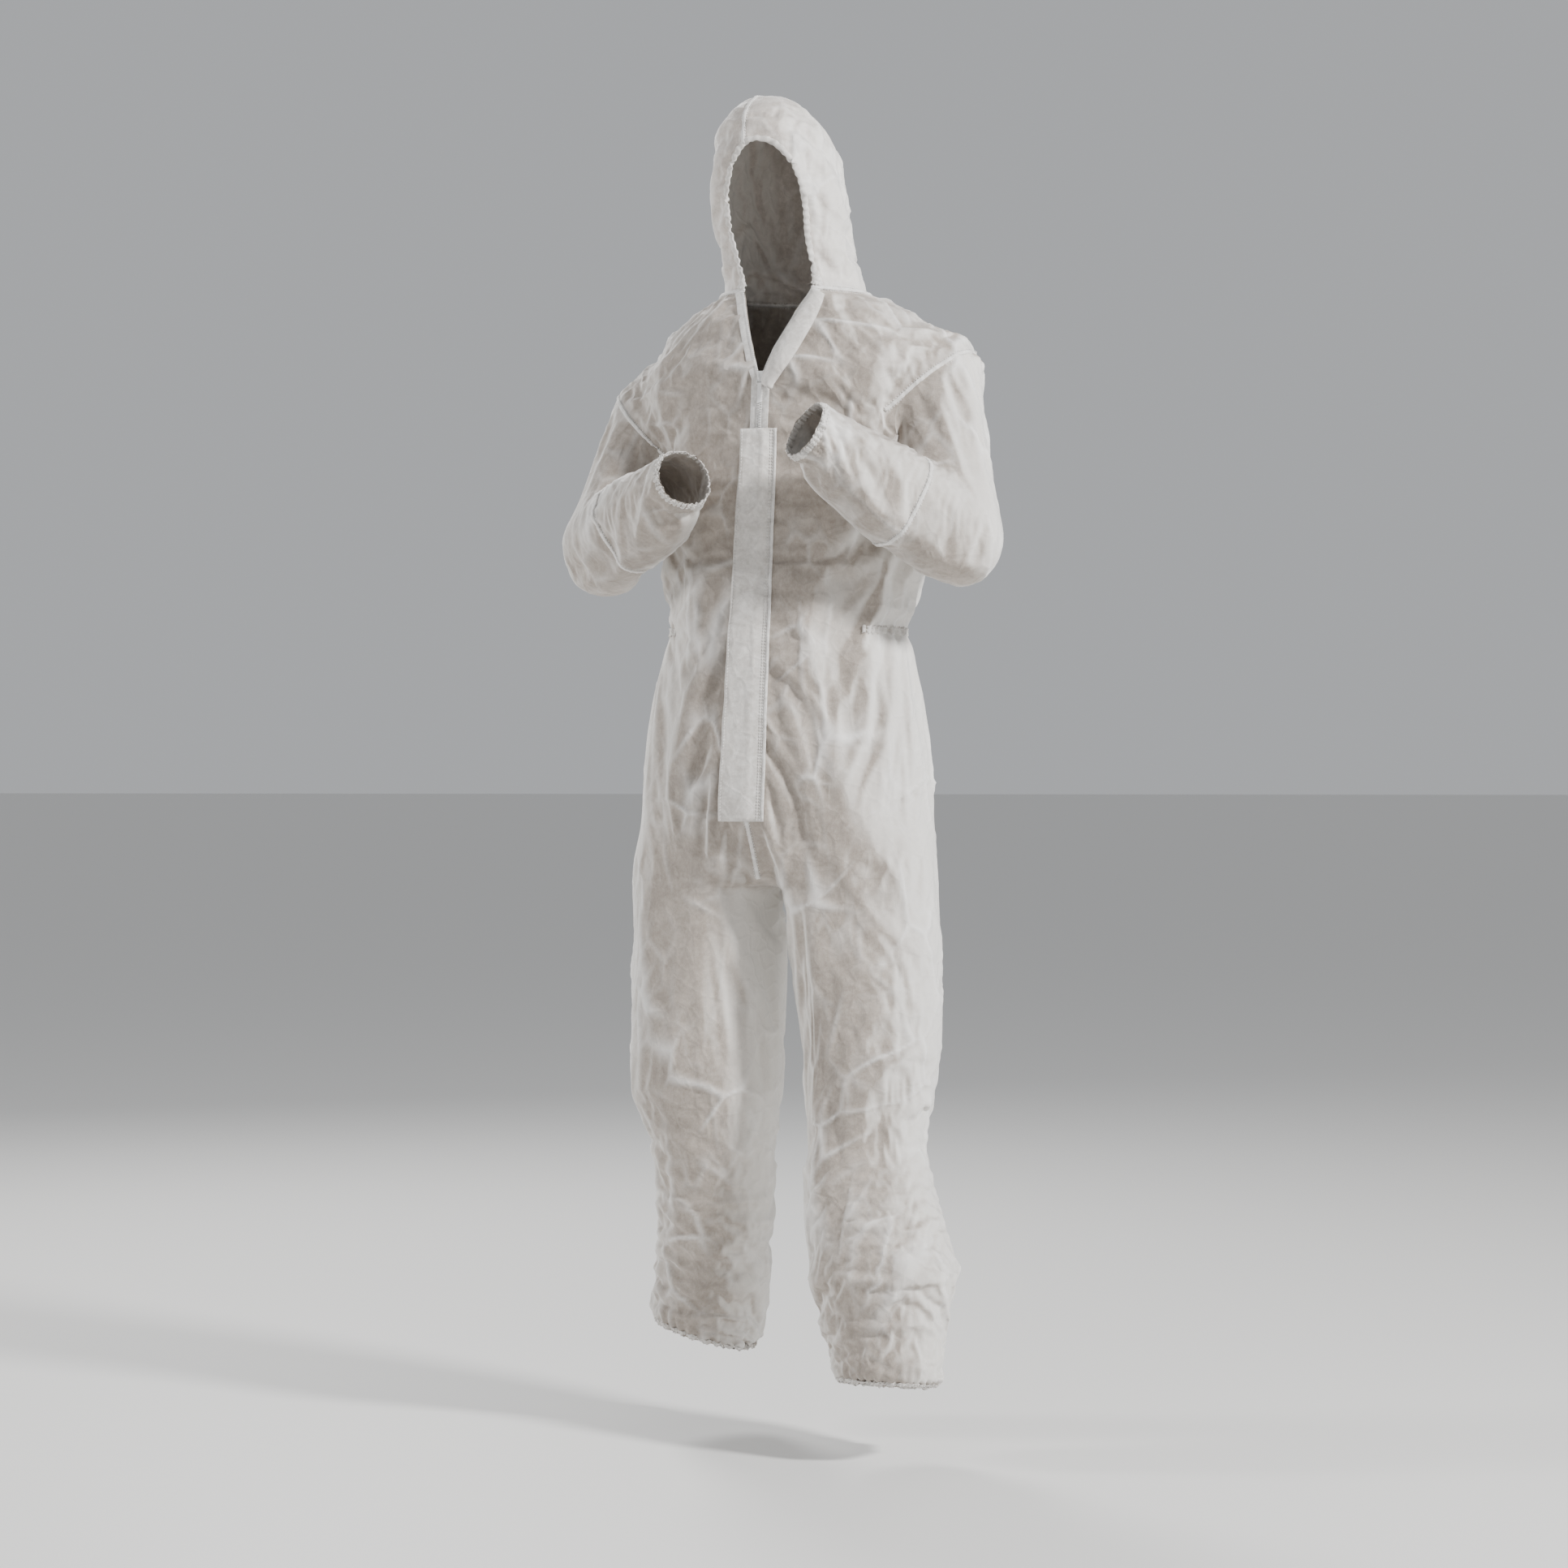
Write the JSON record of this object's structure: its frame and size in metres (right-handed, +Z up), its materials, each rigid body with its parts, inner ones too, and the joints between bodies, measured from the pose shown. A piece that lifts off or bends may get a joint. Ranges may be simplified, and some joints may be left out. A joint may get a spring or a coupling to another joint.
{
  "type": "hooded protective coverall",
  "caption": "Disposable hooded protective coverall standing as worn, with bent sleeves, gathered cuffs and ankles, front zip, storm flap and elastic waist.",
  "frame": {"origin": "middle of the neck ring, where the hood is sewn to the trunk", "axes": "+Z up, the front faces -Y, the wearer's left is +X"},
  "size_m": [0.6514, 0.4227, 1.7708],
  "materials": {
    "spunbond": "matte",
    "seam": "matte",
    "elastic": "matte",
    "tape": "matte",
    "nylon": "satin"
  },
  "bodies": {
    "trunk": {"left_front_panel": "spunbond", "right_front_panel": "spunbond", "left_back_panel": "spunbond", "right_back_panel": "spunbond", "neck_seam": "seam", "waist_elastic": "elastic", "front_rise_seam": "seam", "back_seam": "seam", "left_zip_tape": "tape", "right_zip_tape": "tape", "zip_bottom_stop": "nylon", "storm_flap_seam": "seam", "storm_flap_fold": "spunbond", "left_armhole_seam": "seam", "right_armhole_seam": "seam", "left_hip_fold": "spunbond", "right_hip_fold": "spunbond", "left_shoulder_fold": "spunbond", "right_shoulder_fold": "spunbond", "hood_neck_fold": "spunbond", "left_throat_binding": "elastic", "right_throat_binding": "elastic"},
    "hood": {"left_hood_panel": "spunbond", "right_hood_panel": "spunbond", "hood_centre_seam": "seam", "hood_face_elastic": "elastic"},
    "storm_flap": {"storm_flap": "spunbond"},
    "zip_slider": {"zip_slider": "nylon"},
    "zip_pull": {"zip_pull": "nylon"},
    "left_upper_sleeve": {"left_upper_sleeve": "spunbond", "left_elbow_fold": "spunbond"},
    "left_lower_sleeve": {"left_lower_sleeve": "spunbond", "left_elbow_seam": "seam", "left_cuff_elastic": "elastic"},
    "left_thigh": {"left_thigh_panel": "spunbond", "left_knee_fold": "spunbond"},
    "left_shin": {"left_shin_panel": "spunbond", "left_ankle_elastic": "elastic"},
    "right_upper_sleeve": {"right_upper_sleeve": "spunbond", "right_elbow_fold": "spunbond"},
    "right_lower_sleeve": {"right_lower_sleeve": "spunbond", "right_elbow_seam": "seam", "right_cuff_elastic": "elastic"},
    "right_thigh": {"right_thigh_panel": "spunbond", "right_knee_fold": "spunbond"},
    "right_shin": {"right_shin_panel": "spunbond", "right_ankle_elastic": "elastic"}
  },
  "joints": [
    {"name": "hood_neck", "type": "hinge", "parent": "trunk", "child": "hood", "pos_m": [0.017, 0.075, 0.008], "axis": [1, 0, 0], "range_deg": [-80, 0], "deforming": ["hood_neck_fold", "left_throat_binding", "right_throat_binding"]},
    {"name": "flap_hinge", "type": "hinge", "parent": "trunk", "child": "storm_flap", "pos_m": [0.0268, -0.1565, -0.466], "axis": [0.0333, 0.0083, 0.9994], "range_deg": [0, 150], "deforming": ["storm_flap_fold"]},
    {"name": "zip_slide", "type": "slide", "parent": "trunk", "child": "zip_slider", "axis": [-0.0333, -0.0083, -0.9994], "range_m": [0, 0.56]},
    {"name": "pull_hinge", "type": "hinge", "parent": "zip_slider", "child": "zip_pull", "pos_m": [0.0197, -0.1505, -0.138], "axis": [-1, 0, 0], "range_deg": [0, 150]},
    {"name": "left_shoulder", "type": "hinge", "parent": "trunk", "child": "left_upper_sleeve", "pos_m": [0.197, 0.03, -0.118], "axis": [-1, 0, 0], "range_deg": [0, 50], "deforming": ["left_shoulder_fold"]},
    {"name": "left_elbow", "type": "hinge", "parent": "left_upper_sleeve", "child": "left_lower_sleeve", "pos_m": [0.281, -0.072, -0.335], "axis": [-0.7789, 0.3949, -0.4871], "range_deg": [-90, 0], "deforming": ["left_elbow_fold"]},
    {"name": "right_shoulder", "type": "hinge", "parent": "trunk", "child": "right_upper_sleeve", "pos_m": [-0.181, 0.03, -0.155], "axis": [-1, 0, 0], "range_deg": [0, 50], "deforming": ["right_shoulder_fold"]},
    {"name": "right_elbow", "type": "hinge", "parent": "right_upper_sleeve", "child": "right_lower_sleeve", "pos_m": [-0.248, -0.068, -0.342], "axis": [-0.6625, -0.5392, 0.52], "range_deg": [-90, 0], "deforming": ["right_elbow_fold"]},
    {"name": "left_hip", "type": "hinge", "parent": "trunk", "child": "left_thigh", "pos_m": [0.112, 0, -0.732], "axis": [-1, 0, 0], "range_deg": [-10, 45], "deforming": ["left_hip_fold"]},
    {"name": "left_knee", "type": "hinge", "parent": "left_thigh", "child": "left_shin", "pos_m": [0.143, -0.058, -1.137], "axis": [1, 0, 0], "range_deg": [0, 55], "deforming": ["left_knee_fold"]},
    {"name": "right_hip", "type": "hinge", "parent": "trunk", "child": "right_thigh", "pos_m": [-0.112, 0, -0.732], "axis": [-1, 0, 0], "range_deg": [-10, 45], "deforming": ["right_hip_fold"]},
    {"name": "right_knee", "type": "hinge", "parent": "right_thigh", "child": "right_shin", "pos_m": [-0.104, -0.014, -1.137], "axis": [1, 0, 0], "range_deg": [0, 55], "deforming": ["right_knee_fold"]}
  ]
}
